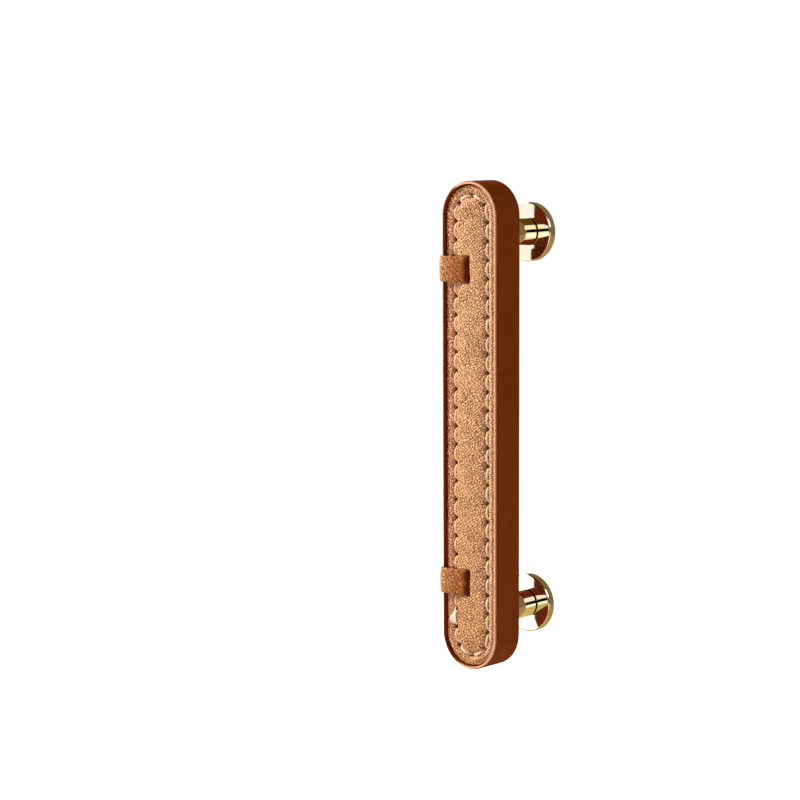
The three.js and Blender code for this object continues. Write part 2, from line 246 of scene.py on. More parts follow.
# Extruded aluminium: satin, with die lines every half millimetre along the bar
aluminium, tree = new_material("extruded_aluminium")
place = add_node(tree, "ShaderNodeTexCoord").outputs["Object"]
drawn = add_node(tree, "ShaderNodeMapping", {"Vector": place, "Scale": (1.0, 1.0, 0.02)})
die_lines = add_node(tree, "ShaderNodeTexNoise", {"Vector": drawn, "Scale": 1 / (0.5 * MM),
                                                  "Detail": 3.0})
bump = add_node(tree, "ShaderNodeBump", {"Height": die_lines, "Strength": 0.25,
                                         "Distance": 0.05 * MM})
shader = add_node(tree, "ShaderNodeBsdfPrincipled", {"Base Color": hex_linear("#b9bcbf"),
                                                     "Metallic": 1.0, "Roughness": 0.38,
                                                     "Normal": bump})
add_node(tree, "ShaderNodeOutputMaterial", {"Surface": shader})
dress("core_bar", aluminium)

# Studs: M5 set screws that join each post to the core. Rolled steel, zinc plated, hidden once the
# pull is put together.

# Zinc plate: grey and half dull, in patches nearly a millimetre wide
zinc, tree = new_material("zinc_plated_steel")
place = add_node(tree, "ShaderNodeTexCoord").outputs["Object"]
mottle = add_node(tree, "ShaderNodeTexNoise", {"Vector": place, "Scale": 1 / (0.8 * MM),
                                               "Detail": 4.0})
haze = add_node(tree, "ShaderNodeMapRange", {"Value": mottle, "To Min": 0.34, "To Max": 0.5})
shader = add_node(tree, "ShaderNodeBsdfPrincipled", {"Base Color": hex_linear("#9a9da0"),
                                                     "Metallic": 1.0, "Roughness": haze})
add_node(tree, "ShaderNodeOutputMaterial", {"Surface": shader})
dress("stud_upper", zinc)
dress("stud_lower", zinc)

# Sewing liner: the stiff board that the face and its foam are sewn to. Pressed leather fibre
# board, die cut, glued in the rim with the face.


def clouded(tree, size, low, high, detail=3.0):
    """A tone that drifts between two colours, in clouds of a size in millimetres."""
    place = add_node(tree, "ShaderNodeTexCoord").outputs["Object"]
    clouds = add_node(tree, "ShaderNodeTexNoise", {"Vector": place, "Scale": 1 / (size * MM),
                                                   "Detail": detail})
    return add_node(tree, "ShaderNodeMix", {"Factor": clouds, "A": hex_linear(low),
                                            "B": hex_linear(high)}, data_type="RGBA")


# Leather fibre board: dull, speckled by fibres a third of a millimetre long
fibre_board, tree = new_material("leather_fibre_board")
tone = clouded(tree, 0.35, "#6f5a41", "#a08868", detail=5.0)
shader = add_node(tree, "ShaderNodeBsdfPrincipled", {"Base Color": tone, "Roughness": 0.9})
add_node(tree, "ShaderNodeOutputMaterial", {"Surface": shader})
dress("sewing_liner", fibre_board)

# Padding: thin foam between the face and the board. Cut polyurethane foam, open celled, pressed
# down along the seam and pierced by the slots of the loops.

BAR_HALF_WIDTH = 11.75
SPINE_HALF = 70.25
SEAM_RADIUS = BAR_HALF_WIDTH - 4.9
STITCHES = 52
PANEL_RADIUS = BAR_HALF_WIDTH - 1.3
LINER_RECESS = 3.45
SOFT_GAP = 0.15
LOOP_HEIGHT = 52.7
LOOP_WIDTH = 8.6
SLOT_SPARE = 0.15
SLOT_NEAR = 0.10
SLOT_FAR = 1.50

SEAM_LENGTH = 4 * SPINE_HALF + 2 * np.pi * SEAM_RADIUS
STITCH_PITCH = SEAM_LENGTH / STITCHES
SLOT_HALF = LOOP_WIDTH / 2 + SLOT_SPARE
CROWN = crown_y / MM


def put_mesh(name, points, triangles, material, **values):
    """A mesh from points in millimetres and rows of three vertex numbers. Triangles that have
    shrunk to a line are dropped, and so is each point that none uses."""
    corners = np.sort(triangles, axis=1)
    whole = (corners[:, 0] != corners[:, 1]) & (corners[:, 1] != corners[:, 2])
    used, numbers = np.unique(triangles[whole], return_inverse=True)
    numbers = numbers.reshape(-1, 3)
    kept = points[used] * MM
    a, b, c = (kept[numbers[:, corner]] for corner in range(3))
    if np.einsum("ij,ij->", a, np.cross(b, c)) < 0:
        numbers = numbers[:, ::-1]
    mesh = bpy.data.meshes.new(name)
    mesh.vertices.add(len(kept))
    mesh.vertices.foreach_set("co", kept.ravel().astype(np.float32))
    mesh.loops.add(numbers.size)
    mesh.loops.foreach_set("vertex_index", numbers.ravel().astype(np.int32))
    mesh.polygons.add(len(numbers))
    mesh.polygons.foreach_set("loop_start", np.arange(0, numbers.size, 3, dtype=np.int32))
    mesh.polygons.foreach_set("use_smooth", np.ones(len(numbers), bool))
    for label, value in values.items():
        layer = mesh.attributes.new(label, "FLOAT", "POINT")
        layer.data.foreach_set("value", value[used].astype(np.float32))
    mesh.update(calc_edges=True)
    mesh.validate()
    mesh.materials.append(material)
    piece = bpy.data.objects.new(name, mesh)
    bpy.context.scene.collection.objects.link(piece)
    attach(piece, "root")
    return piece


def cells(numbers, kept=None):
    """Two triangles for each cell of a grid of vertex numbers, wound from row to column. Cells
    that aren't kept are left open."""
    a, b = numbers[:-1, :-1], numbers[1:, :-1]
    c, d = numbers[1:, 1:], numbers[:-1, 1:]
    if kept is None:
        kept = np.ones(a.shape, bool)
    halves = [np.stack([a, b, c], -1)[kept], np.stack([a, c, d], -1)[kept]]
    return np.concatenate(halves)


def closed(numbers):
    """The same grid with its first column again at the end."""
    return np.column_stack([numbers, numbers[:, :1]])


def stations(step):
    """Places round the bar's outline, at most about a step apart: up the right side, over the top,
    down the left side and round the bottom. Gives the height on the spine that each belongs to,
    its outward direction, and its distance along the seam from the middle of the right side. The
    edges of the loops' slots always fall on a place."""
    edges = [SPINE_HALF, LOOP_HEIGHT + SLOT_HALF, LOOP_HEIGHT - SLOT_HALF]
    stops = sorted([*edges, *(-edge for edge in edges)])
    runs = [np.linspace(low, high, max(1, round((high - low) / step)), endpoint=False)
            for low, high in zip(stops, stops[1:])]
    side = np.concatenate(runs)
    arc = np.linspace(0, np.pi, round(np.pi * PANEL_RADIUS / step), endpoint=False)
    top = np.full(len(arc), SPINE_HALF)
    spine = np.concatenate([side, top, -side, -top])
    angle = np.concatenate([0 * side, arc, 0 * side + np.pi, arc + np.pi])
    quarter = np.pi * SEAM_RADIUS / 2
    along = np.concatenate([side, SPINE_HALF + SEAM_RADIUS * arc,
                            2 * (SPINE_HALF + quarter) + side,
                            3 * SPINE_HALF + 2 * quarter + SEAM_RADIUS * arc])
    return spine, angle, along


def outline_points(radius, recess, spine, angle):
    """Points at a radius from the spine, in its outward direction, and a recess behind the rim's
    crown."""
    return np.stack([radius * np.cos(angle), CROWN + recess, spine + radius * np.sin(angle)], -1)


def panel_skin(radii, front, back, back_rows, spine, angle):
    """A panel that fills the outline: a front sheet of rings from the spine outwards, a back sheet
    of some of the same rings, the wall between them, and a slot for each loop. Both sheets are
    grids of radius by place, and the two sides of the spine are welded."""
    count = len(spine)
    front_points = outline_points(radii[:, None], front, spine, angle)
    back_points = outline_points(radii[back_rows, None], back[back_rows], spine, angle)
    points = np.concatenate([front_points.reshape(-1, 3), back_points.reshape(-1, 3)])
    numbers = np.arange(len(points)).reshape(-1, count)
    _, first, again = np.unique(spine.round(6), return_index=True, return_inverse=True)
    rows = len(radii)
    for row in (0, rows):
        numbers[row] = numbers[row][first[again]]
    fore, rear = numbers[:rows], numbers[rows:]
    left = np.isclose(angle, np.pi)
    near = int(np.flatnonzero(np.isclose(radii, SLOT_NEAR))[0])
    far = int(np.flatnonzero(np.isclose(radii, SLOT_FAR))[0])
    rear_near = list(back_rows).index(near)
    rear_far = list(back_rows).index(far)
    kept = np.ones((rows + len(back_rows) - 1, count), bool)
    walls = []
    for middle in (LOOP_HEIGHT, -LOOP_HEIGHT):
        start = int(np.flatnonzero(left & np.isclose(spine, middle + SLOT_HALF))[0])
        end = int(np.flatnonzero(left & np.isclose(spine, middle - SLOT_HALF))[0])
        span = slice(start, end + 1)
        kept[near:far, start:end] = False
        rear_top = rows + len(back_rows) - 1
        kept[rear_top - rear_far:rear_top - rear_near, start:end] = False
        walls.append(np.stack([fore[near, span], rear[rear_near, span]]))
        walls.append(np.stack([rear[rear_far, span], fore[far, span]]))
        front_edge, back_edge = fore[near:far + 1], rear[rear_near:rear_far + 1]
        walls.append(np.column_stack([front_edge[:, start], back_edge[:, start]]))
        walls.append(np.column_stack([back_edge[:, end], front_edge[:, end]]))
    skin = closed(np.concatenate([fore, rear[::-1]]))
    triangles = np.concatenate([cells(skin, kept), *(cells(wall) for wall in walls)])
    return points, triangles


def face_back_recess(radius):
    """Recess of the face leather's back: domed in the field, lower along the seam, flat outside."""
    return np.interp(radius, [0, 2, 4, 5.9, 6.25, 7.45, 7.8, PANEL_RADIUS],
                     [1.5, 1.6, 1.9, 2.35, 2.85, 2.85, 2.5, 2.5])


# Polyurethane foam: dull, with open cells 0.4 mm wide
foam, tree = new_material("polyurethane_foam")
place = add_node(tree, "ShaderNodeTexCoord").outputs["Object"]
foam_cells = add_node(tree, "ShaderNodeTexVoronoi", {"Vector": place, "Scale": 1 / (0.4 * MM)})
tone = add_node(tree, "ShaderNodeMix", {"Factor": foam_cells, "A": hex_linear("#4a433b"),
                                        "B": hex_linear("#857a6d")}, data_type="RGBA")
bump = add_node(tree, "ShaderNodeBump", {"Height": foam_cells, "Strength": 0.6,
                                         "Distance": 0.2 * MM})
shader = add_node(tree, "ShaderNodeBsdfPrincipled", {"Base Color": tone, "Roughness": 0.95,
                                                     "Normal": bump})
add_node(tree, "ShaderNodeOutputMaterial", {"Surface": shader})

spine, angle, along = stations(1.5)
radii = np.array([0, SLOT_NEAR, SLOT_FAR, 3.0, 4.5, 5.9, 6.25, 7.45, 7.8, 9.0, PANEL_RADIUS])
every_row = np.arange(len(radii))
foam_front = (face_back_recess(radii) + SOFT_GAP)[:, None] + 0 * spine
foam_back = np.full_like(foam_front, LINER_RECESS)
points, triangles = panel_skin(radii, foam_front, foam_back, every_row, spine, angle)
padding = put_mesh("foam_padding", points, triangles, foam)
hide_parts("padding")

# Back panel: smooth leather glued to the back of the core, with its edge turned over, and slots
# that take the tucked ends of the loops. Chrome-tanned calf, dyed dark brown, lightly creased.

BACK_FRONT = 11.3
BACK_REAR = 12.4
BACK_EDGE = 0.3
BACK_GRAIN_SIZE = 1.8
BACK_CREASE_DEPTH = 0.03
BACK_WAVE = 0.06
STUD_HOLE_RADIUS = 2.75
POST_HEIGHT = 64.0


def tables(seed, size=64):
    """Seeded random tables that the patterns below read, and read again when they run off them."""
    return np.random.default_rng(seed).random((3, size, size))


def drift(u, v, length, seed):
    """Smooth random hills from 0 to 1, a length apart: the values at a lattice's corners, blended
    with 3 t squared less 2 t cubed."""
    table = tables(seed)[0]
    size = len(table)
    a, b = u / length, v / length
    i, j = np.floor(a).astype(int), np.floor(b).astype(int)
    s, t = a - i, b - j
    s, t = s * s * (3 - 2 * s), t * t * (3 - 2 * t)
    i, j, k, m = i % size, j % size, (i + 1) % size, (j + 1) % size
    low = table[i, j] * (1 - s) + table[k, j] * s
    high = table[i, m] * (1 - s) + table[k, m] * s
    return low * (1 - t) + high * t


def pebbles(u, v, length, seed):
    """Leather grain: one random point to each lattice square, and at each place the distance to
    the nearest point and to the next. Their difference is 0 in a crease and grows on a pebble.
    Gives that difference from 0 to 1, and a random level for each pebble."""
    shift_u, shift_v, level = tables(seed)
    size = len(level)
    a, b = u / length, v / length
    i, j = np.floor(a).astype(int), np.floor(b).astype(int)
    nearest = np.full(np.shape(a), 9.0)
    second = nearest.copy()
    tone = np.zeros(np.shape(a))
    for step_u in (-1, 0, 1):
        for step_v in (-1, 0, 1):
            k, m = i + step_u, j + step_v
            row, column = k % size, m % size
            gap = np.hypot(k + 0.1 + 0.8 * shift_u[row, column] - a,
                           m + 0.1 + 0.8 * shift_v[row, column] - b)
            closer = gap < nearest
            second = np.where(closer, nearest, np.minimum(second, gap))
            tone = np.where(closer, level[row, column], tone)
            nearest = np.minimum(nearest, gap)
    return np.clip((second - nearest) / 0.45, 0, 1), tone


def ease(low, high, value):
    """0 below low, 1 above high, and 3 t squared less 2 t cubed between."""
    share = np.clip((value - low) / (high - low), 0, 1)
    return share * share * (3 - 2 * share)


def tint_by_marks(tree, tone, marks):
    """Mixes one more colour into a tone for each mark that the mesh carries, by the mark's value."""
    for label, code in marks.items():
        share = add_node(tree, "ShaderNodeAttribute", attribute_name=label).outputs["Fac"]
        tone = add_node(tree, "ShaderNodeMix", {"Factor": share, "A": tone, "B": hex_linear(code)},
                        data_type="RGBA")
    return tone


def finish_leather(tree, tone, pore, depth, strength, roughness, sheen, detail=3.0):
    """The surface of a leather in a tone: pores of a size and a depth in millimetres, and wax that
    is as rough and as shiny as given."""
    place = add_node(tree, "ShaderNodeTexCoord").outputs["Object"]
    pores = add_node(tree, "ShaderNodeTexNoise", {"Vector": place, "Scale": 1 / (pore * MM),
                                                  "Detail": detail})
    bump = add_node(tree, "ShaderNodeBump", {"Height": pores, "Strength": strength,
                                             "Distance": depth * MM})
    shader = add_node(tree, "ShaderNodeBsdfPrincipled", {"Base Color": tone, "Roughness": roughness,
                                                         "Specular IOR Level": sheen,
                                                         "Normal": bump})
    add_node(tree, "ShaderNodeOutputMaterial", {"Surface": shader})


# Dyed calf: nearly matt, in clouds of 6 mm, with painted shade darkening its creases, and pores of a
# quarter millimetre
back_leather, tree = new_material("dark_dyed_calf")
tone = tint_by_marks(tree, clouded(tree, 6, "#7c2a06", "#8e3008"), {"crease": "#5c220a"})
finish_leather(tree, tone, pore=0.25, depth=0.05, strength=0.3, roughness=0.55, sheen=0.05,
               detail=2.0)

spine, angle, along = stations(0.5)
roundover = np.sin(np.linspace(0.2, 1.0, 5) * np.pi / 2)
edge = PANEL_RADIUS - BACK_EDGE + BACK_EDGE * roundover
radii = np.concatenate([[0, SLOT_NEAR], np.linspace(0.6, SLOT_FAR, 3),
                        np.linspace(2.0, PANEL_RADIUS - BACK_EDGE, 18), edge])
ring_x = radii[:, None] * np.cos(angle)
ring_z = spine + radii[:, None] * np.sin(angle)
grain, _ = pebbles(ring_x, ring_z, BACK_GRAIN_SIZE, seed=11)
# Creases: sunk a little, and painted darker as shade.
crease = 1 - ease(0.0, 0.7, grain)
turned = np.clip((radii - PANEL_RADIUS + BACK_EDGE) / BACK_EDGE, 0, 1)[:, None]
rear = BACK_REAR - BACK_EDGE * (1 - np.sqrt(1 - turned ** 2)) - BACK_CREASE_DEPTH * crease
rear -= BACK_WAVE * drift(ring_x, ring_z, 9.0, seed=12)
flat_front = np.full_like(rear, BACK_FRONT)
# The panel is made with its finished side as the first sheet, so that the creases lie on it
points, triangles = panel_skin(radii, rear, flat_front, np.arange(len(radii)), spine, angle)
crease_all = np.concatenate([crease.ravel(), 0 * crease.ravel()])
back_panel = put_mesh("back_leather", points, triangles, back_leather, crease=crease_all)


def drill(piece, places, radius, low, high):
    """Cuts round holes along Y, from low to high, and keeps the cut mesh."""
    for x, z in places:
        middle = (x * MM, (CROWN + (low + high) / 2) * MM, z * MM)
        bpy.ops.mesh.primitive_cylinder_add(vertices=64, radius=radius * MM, depth=(high - low) * MM,
                                            location=middle, rotation=(np.pi / 2, 0, 0))
        cutter = bpy.context.object
        cut = piece.modifiers.new("hole", "BOOLEAN")
        cut.operation = "DIFFERENCE"
        cut.solver = "EXACT"
        cut.object = cutter
        shaped = piece.evaluated_get(bpy.context.evaluated_depsgraph_get())
        old = piece.data
        piece.data = bpy.data.meshes.new_from_object(shaped)
        piece.modifiers.clear()
        bpy.data.objects.remove(cutter)
        bpy.data.meshes.remove(old)


drill(back_panel, [(0, POST_HEIGHT), (0, -POST_HEIGHT)], STUD_HOLE_RADIUS,
      BACK_FRONT - 1, BACK_REAR + 1)
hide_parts("back_panel")

# Edge strap: a strip of vegetable-tanned leather wrapped round the bar on edge and glued. Its cut
# front edge stands proud of the face as a rim, rubbed smooth, pale but for the left side, and with a
# painted shade line at its inner edge.

EDGE_LEATHER = 1.1
BAR_DEPTH = 12.4
RIM_OUTER_ROUNDING = 0.75
RIM_INNER_ROUNDING = 0.3
REAR_ROUNDING = 0.35
RIM_WOBBLE = 0.05


def rounded_path(corners, rounding, step, is_loop=False):
    """A path through corners, each rounded by an arc of its own radius, as points a step apart."""
    corners = np.asarray(corners, float)
    parts = []
    for number, (corner, radius) in enumerate(zip(corners, rounding)):
        if radius == 0:
            parts.append(corner[None])
            continue
        back = corners[number - 1] - corner
        ahead = corners[(number + 1) % len(corners)] - corner
        back, ahead = back / np.hypot(*back), ahead / np.hypot(*ahead)
        half = np.arccos(np.clip(back @ ahead, -1, 1)) / 2
        bisector = (back + ahead) / np.hypot(*(back + ahead))
        centre = corner + bisector * radius / np.sin(half)
        reach = radius / np.tan(half)
        start, end = corner + back * reach - centre, corner + ahead * reach - centre
        sweep = np.arctan2(start[0] * end[1] - start[1] * end[0], start @ end)
        turns = sweep * np.linspace(0, 1, 17)
        spin = np.stack([np.cos(turns) * start[0] - np.sin(turns) * start[1],
                         np.sin(turns) * start[0] + np.cos(turns) * start[1]], -1)
        parts.append(centre + spin)
    line = np.concatenate(parts)
    if is_loop:
        line = np.concatenate([line, line[:1]])
    travelled = np.concatenate([[0], np.cumsum(np.hypot(*np.diff(line, axis=0).T))])
    count = round(travelled[-1] / step)
    spots = np.linspace(0, travelled[-1], count, endpoint=not is_loop)
    return np.stack([np.interp(spots, travelled, line[:, axis]) for axis in (0, 1)], -1)


# Vegetable-tanned leather: dyed dark brown in clouds of 9 mm and waxed dull. Its cut edge shows the
# pale fibres, half a millimetre wide, and keeps a dark line at its inner edge, which is painted shade.
edge_leather, tree = new_material("dark_saddle_leather")
dyed = clouded(tree, 9, "#672a02", "#7c3404")
pale = clouded(tree, 0.5, "#cf9067", "#f5bd95", detail=4.0)
bare_share = add_node(tree, "ShaderNodeAttribute", attribute_name="bare_edge").outputs["Fac"]
tone = add_node(tree, "ShaderNodeMix", {"Factor": bare_share, "A": dyed, "B": pale},
                data_type="RGBA")
finish_leather(tree, tone, pore=0.4, depth=0.08, strength=0.4, roughness=0.55, sheen=0.03)

spine, angle, along = stations(0.6)
section = rounded_path([(0, 0), (EDGE_LEATHER, 0), (EDGE_LEATHER, BAR_DEPTH), (0, BAR_DEPTH)],
                       [RIM_OUTER_ROUNDING, RIM_INNER_ROUNDING, REAR_ROUNDING, REAR_ROUNDING],
                       0.3, is_loop=True)
# The strip's section is carried round the outline, and its rim wavers a little
inset, recess = section[:, :1], section[:, 1:]
proud = 1 - ease(0.0, 2.0, recess)
wobble = drift(along, 0 * along, 5.0, seed=21) + 0.5 * drift(along, 0 * along, 1.7, seed=22)
rim_recess = recess + proud * RIM_WOBBLE * wobble
points = outline_points(BAR_HALF_WIDTH - inset, rim_recess, spine, angle).reshape(-1, 3)
numbers = np.arange(len(points)).reshape(len(section), -1)
skin = closed(np.concatenate([numbers, numbers[:1]]))
heading = (np.degrees(angle) + 180) % 360 - 180
# The crown is pale along the right, top and bottom, and dark along the left.
pale_sides = 1 - np.maximum(ease(112, 128, heading), ease(104, 122, -heading))
# Its inner edge is left dark as painted shade beside the face.
crown = (1 - ease(0.08, 0.32, recess)) * (1 - ease(0.92, 1.0, inset))
bare_edge = (crown * pale_sides).ravel()
edge_strap = put_mesh("edge_leather_strap", points, cells(skin), edge_leather, bare_edge=bare_edge)
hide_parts("edge_strap")

# Face panel: pebbled cowhide over the foam, drawn down by the seam, pierced at each stitch, and
# pressed in where a loop lies on it. Printed and milled grain, waxed, with pebbles pale on top as wear
# and painted highlight.

FIELD_TOP = 0.33
FIELD_DROP = 0.42
FIELD_HALF = 5.8
BAND_TOP = 0.80
BAND_DROP = 0.22
BAND_MIDDLE = 8.8
BAND_HALF = 1.65
FACE_EDGE = 0.4
FACE_EDGE_DROP = 0.3
SEAM_FLOOR = 1.72
VALLEY_INSIDE = 0.55
VALLEY_OUTSIDE = 0.85
PIT_FLOOR = 2.75
PIT_LONG = 0.85
PIT_WIDE = 0.6
PIT_DRAW = 1.2
DRAWN_DEEPER = 0.15
DRAWN_INSIDE = 0.55
DRAWN_OUTSIDE = 0.25
STRAP_X = -0.8
STRAP_DROP = 1.05
STRAP_UNDER = 0.90
STRAP_SLOPE = STRAP_DROP / (PANEL_RADIUS + STRAP_X)
PRINT_GAP = 0.05
PRINT_DEEPEST = 1.4
PRINT_EASE_UP = 0.35
PRINT_EASE_ACROSS = 0.4
BEND_X = -2.4
BEND_CENTRE = 1.95
BEND_RADIUS = 1.1
LIP_REACH = 0.4
LIP_TURN = 0.25
FACE_STEP = 0.235
STREAK_ACROSS = 0.8
STREAK_UP = 0.6
STREAK_SWAY = 1.3
GRAIN_SIZE = 0.95
GRAIN_ALONG = 0.68
GRAIN_ACROSS = 1.15
FINE_GRAIN_SIZE = 0.8
GRAIN_DEPTH = 0.40
FACE_WAVE = 0.06
LINE_RADIUS = 9.5
LINE_HALF = 0.17
LINE_DEPTH = 0.12
BACK_SHEET_STEP = 6


def face_recess(radius, along_seam, x, z):
    """Recess of the face before its grain: a domed field and a puffed band, an eased valley along
    the seam, a pit at each needle hole, the print of each loop and the turned lip of its slot."""
    from_seam = radius - SEAM_RADIUS
    dome = FIELD_TOP + FIELD_DROP * (radius / FIELD_HALF) ** 2.4
    band = BAND_TOP + BAND_DROP * ((radius - BAND_MIDDLE) / BAND_HALF) ** 2
    base = np.where(from_seam < 0, dome, band)
    turned = np.clip((radius - PANEL_RADIUS + FACE_EDGE) / FACE_EDGE, 0, 1)
    base = base + FACE_EDGE_DROP * (1 - np.sqrt(1 - turned ** 2))
    from_pit = (along_seam + STITCH_PITCH / 2) % STITCH_PITCH - STITCH_PITCH / 2
    drawn = np.exp(-(from_pit / PIT_DRAW) ** 2)
    reach = np.where(from_seam < 0, VALLEY_INSIDE + DRAWN_INSIDE * drawn,
                     VALLEY_OUTSIDE + DRAWN_OUTSIDE * drawn)
    valley = np.exp(-(np.abs(from_seam) / reach) ** 2.2)
    floor = SEAM_FLOOR + DRAWN_DEEPER * drawn
    recess = base + np.maximum(floor - base, 0) * valley
    pit = np.exp(-(np.abs(from_pit) / PIT_LONG) ** 3 - (np.abs(from_seam) / PIT_WIDE) ** 3)
    recess = recess + (PIT_FLOOR - floor) * pit
    across = np.abs(np.abs(z) - LOOP_HEIGHT)
    print_depth = STRAP_UNDER + STRAP_SLOPE * (x - STRAP_X) + PRINT_GAP
    bend_depth = BEND_CENTRE - np.sqrt(np.clip(BEND_RADIUS ** 2 - (x - BEND_X) ** 2, 0, None))
    bend_depth = np.maximum(print_depth, np.minimum(bend_depth, PRINT_DEEPEST))
    print_depth = np.where(x > BEND_X, bend_depth, print_depth)
    pressed = 1 - ease(SLOT_HALF, SLOT_HALF + PRINT_EASE_UP, across)
    pressed = pressed * (1 - ease(-PRINT_EASE_ACROSS, 0.0, x))
    recess = recess + pressed * np.maximum(print_depth - recess, 0)
    beyond_x = np.maximum(np.maximum(-SLOT_FAR - x, x + SLOT_NEAR), 0)
    beyond_z = np.maximum(across - SLOT_HALF, 0)
    lip = np.clip(1 - np.hypot(beyond_x, beyond_z) / LIP_REACH, 0, 1)
    return recess + LIP_TURN * lip ** 2


# Pebbled cowhide: tan in clouds of 14 mm, golden towards the bottom, ruddy at the left edge, browner
# right of the middle as painted shade, and pink at the right edge. Its pebbles are pale on top, as
# wear and painted highlight, its creases are red-brown and darkened as painted shade, and the floor of
# its seam and its needle holes are painted dark as shade. Each tint grows between two places, up to a
# share of the tone.
face_leather, tree = new_material("pebbled_cowhide")
place = add_node(tree, "ShaderNodeTexCoord").outputs["Object"]
across_hide, _, up_hide = add_node(tree, "ShaderNodeSeparateXYZ", {0: place}).outputs
tone = clouded(tree, 14, "#e19667", "#d89d5f")
# The tint browner right of the middle is painted shade, where the dome turns away from the key light.
for across_or_up, start, end, most, code in ((up_hide, 10, -80, 0.6, "#d07e2e"),
                                             (across_hide, -6.2, -7.6, 1.0, "#eb8e5a"),
                                             (across_hide, 0.5, 5.2, 0.35, "#bd7437"),
                                             (across_hide, 6.4, 8.0, 1.0, "#f1b184")):
    share = add_node(tree, "ShaderNodeMapRange", {"Value": across_or_up, "From Min": start * MM,
                                                  "From Max": end * MM, "To Max": most})
    tone = add_node(tree, "ShaderNodeMix", {"Factor": share, "A": tone, "B": hex_linear(code)},
                    data_type="RGBA")
tone = tint_by_marks(tree, tone, {"worn_top": "#fbd19b", "crease": "#6a3012", "sunk_shade": "#42200c"})
finish_leather(tree, tone, pore=0.4, depth=0.2, strength=0.7, roughness=0.55, sheen=0.3)

spine, angle, along = stations(FACE_STEP)
inner = np.linspace(SLOT_NEAR, SLOT_FAR, 7)
edge_from = PANEL_RADIUS - FACE_EDGE
outer = np.linspace(SLOT_FAR, edge_from, round((edge_from - SLOT_FAR) / FACE_STEP))
radii = np.concatenate([[0], inner, outer[1:], edge_from + FACE_EDGE * roundover])
ring_x = radii[:, None] * np.cos(angle)
ring_z = spine + radii[:, None] * np.sin(angle)
# The grain is two patterns of pebbles, drawn out along a streak that runs up to the right
sway = STREAK_SWAY * drift(ring_x, ring_z, 4.0, seed=31)
streak_u = STREAK_ACROSS * ring_x + STREAK_UP * ring_z + sway
streak_v = STREAK_ACROSS * ring_z - STREAK_UP * ring_x
grain, level = pebbles(GRAIN_ALONG * streak_u, GRAIN_ACROSS * streak_v, GRAIN_SIZE, seed=32)
fine, _ = pebbles(streak_u, streak_v, FINE_GRAIN_SIZE, seed=33)
# Creases are sunk into the grain, and their mark also paints them darker as shade.
crease = np.maximum(0.9 * (1 - ease(0.0, 0.6, grain)), 0.8 * (1 - ease(0.0, 0.5, fine)))
crease = crease * (0.8 + 0.2 * ease(0.2, 0.6, drift(ring_x, ring_z, 3.6, seed=35)))
# Pale pebble tops: partly wear and partly a painted highlight on the raised grain.
worn_top = (0.42 + 0.3 * level) * ease(0.2, 1.0, grain)
front = face_recess(radii[:, None], along, ring_x, ring_z)
# A line is creased into the band beside the rim, along the right side, and painted dark as the shade
# beside the rim
line = np.exp(-((radii[:, None] - LINE_RADIUS) / LINE_HALF) ** 2)
line = line * ease(-0.1, 0.5, np.cos(angle))
front = front + LINE_DEPTH * line
crease = np.maximum(crease, 0.9 * line)
worn_top = worn_top * (1 - line)
# Painted shade: the floor of the seam and the needle pits are coloured dark.
sunk_shade = ease(1.5, 1.85, front)
front = front + GRAIN_DEPTH * (crease + 0.15 * (1 - level)) * (1 - 0.8 * ease(1.2, 1.8, front))
front = front + FACE_WAVE * drift(ring_x, ring_z, 3.2, seed=34)
# The back sheet, which nothing shows, keeps the rings of the slots and few of the others
slot_rows = np.arange(len(inner) + 1)
sparse_rows = np.arange(len(inner) + BACK_SHEET_STEP, len(radii) - 1, BACK_SHEET_STEP)
back_rows = np.concatenate([slot_rows, sparse_rows, [len(radii) - 1]])
back = face_back_recess(radii)[:, None] + 0 * spine
points, triangles = panel_skin(radii, front, back, back_rows, spine, angle)
marks = {label: np.append(mark, np.zeros(back_rows.size * spine.size))
         for label, mark in (("crease", crease), ("worn_top", worn_top), ("sunk_shade", sunk_shade))}
face_panel = put_mesh("face_leather_panel", points, triangles, face_leather, **marks)
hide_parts("face_panel")

# Face stitching: fifty-two stitches of thick waxed thread, three plies laid together. Each rises
# from its needle hole, arches over the seam and dives into the next hole.

THREAD_RADIUS = 0.50
THREAD_MIDDLE = 1.25
THREAD_END = 2.95
PLY_LAY = 0.8
THREAD_SIDES = 12
THREAD_STEPS = 28
PLIES = 3
PLY_RELIEF = 0.07
FIBRES = 30
FIBRE_RADIUS = 0.11
FIBRE_SIDES = 6
FIBRE_STEPS = 14


def seam_place(distance):
    """Height on the spine and outward angle at a distance along the seam, from the middle of the
    right side: straight up, half a turn, straight down, half a turn, and up again."""
    half_turn = np.pi * SEAM_RADIUS
    marks = np.cumsum([0, SPINE_HALF, half_turn, 2 * SPINE_HALF, half_turn, SPINE_HALF])
    spot = distance % SEAM_LENGTH
    spine = np.interp(spot, marks, [0, SPINE_HALF, SPINE_HALF, -SPINE_HALF, -SPINE_HALF, 0])
    angle = np.interp(spot, marks, [0, 0, np.pi, np.pi, 2 * np.pi, 2 * np.pi])
    return spine, angle


# Waxed linen: cream, with lint every third of a millimetre, and nearly white where it is frayed
thread, tree = new_material("waxed_linen_thread")
tone = tint_by_marks(tree, clouded(tree, 0.3, "#d3a273", "#fadfba"), {"frayed": "#f3ddcd"})
shader = add_node(tree, "ShaderNodeBsdfPrincipled", {"Base Color": tone, "Roughness": 0.6,
                                                     "Specular IOR Level": 0.3})
add_node(tree, "ShaderNodeOutputMaterial", {"Surface": shader})


